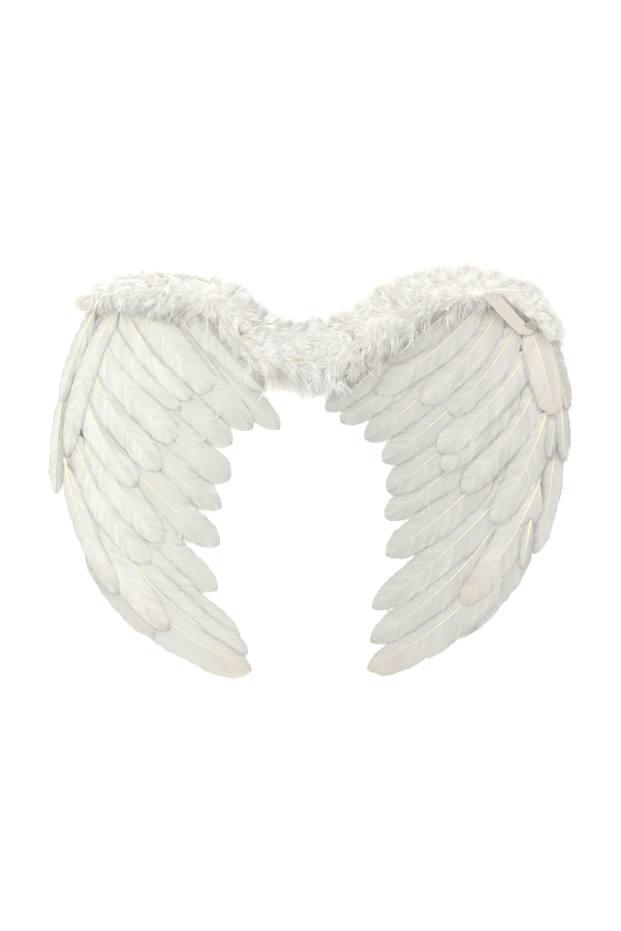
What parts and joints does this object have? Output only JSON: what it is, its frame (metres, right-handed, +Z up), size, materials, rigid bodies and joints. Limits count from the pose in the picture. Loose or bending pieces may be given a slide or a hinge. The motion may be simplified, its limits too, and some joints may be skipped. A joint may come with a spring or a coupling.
{
  "type": "angel wings, costume",
  "caption": "White feather angel wings to wear, with a deep fur trim across the shoulders and elastic straps, lying flat.",
  "frame": {"origin": "below the middle of the wings' bounding box, on the surface that they lie on", "axes": "+X across both wings to the right as seen from the feathered side, +Y towards the shoulders, +Z up out of the feathered side"},
  "size_m": [0.5896, 0.469, 0.0359],
  "materials": {
    "left_feathers": "matte",
    "right_feathers": "matte",
    "fur": "matte",
    "felt": "matte",
    "elastic": "satin"
  },
  "bodies": {
    "root": {"backing_panel": "felt", "centre_fur_trim": "fur", "left_flight_feather_01": "left_feathers", "left_flight_feather_02": "left_feathers", "left_flight_feather_03": "left_feathers", "left_flight_feather_04": "left_feathers", "left_flight_feather_05": "left_feathers", "left_flight_feather_06": "left_feathers", "left_flight_feather_07": "left_feathers", "left_flight_feather_08": "left_feathers", "left_flight_feather_09": "left_feathers", "left_flight_feather_10": "left_feathers", "left_flight_feather_11": "left_feathers", "left_fur_trim": "fur", "left_middle_feather_01": "left_feathers", "left_middle_feather_02": "left_feathers", "left_middle_feather_03": "left_feathers", "left_middle_feather_04": "left_feathers", "left_middle_feather_05": "left_feathers", "left_middle_feather_06": "left_feathers", "left_middle_feather_07": "left_feathers", "left_middle_feather_08": "left_feathers", "left_middle_feather_09": "left_feathers", "left_middle_feather_10": "left_feathers", "left_outer_feather_01": "left_feathers", "left_outer_feather_02": "left_feathers", "left_outer_feather_03": "left_feathers", "left_outer_feather_04": "left_feathers", "left_strap": "elastic", "right_flight_feather_01": "right_feathers", "right_flight_feather_02": "right_feathers", "right_flight_feather_03": "right_feathers", "right_flight_feather_04": "right_feathers", "right_flight_feather_05": "right_feathers", "right_flight_feather_06": "right_feathers", "right_flight_feather_07": "right_feathers", "right_flight_feather_08": "right_feathers", "right_flight_feather_09": "right_feathers", "right_flight_feather_10": "right_feathers", "right_flight_feather_11": "right_feathers", "right_fur_trim": "fur", "right_middle_feather_01": "right_feathers", "right_middle_feather_02": "right_feathers", "right_middle_feather_03": "right_feathers", "right_middle_feather_04": "right_feathers", "right_middle_feather_05": "right_feathers", "right_middle_feather_06": "right_feathers", "right_middle_feather_07": "right_feathers", "right_middle_feather_08": "right_feathers", "right_middle_feather_09": "right_feathers", "right_middle_feather_10": "right_feathers", "right_outer_feather_01": "right_feathers", "right_outer_feather_02": "right_feathers", "right_outer_feather_03": "right_feathers", "right_outer_feather_04": "right_feathers", "right_outer_feather_05": "right_feathers", "right_strap": "elastic"}
  },
  "joints": []
}
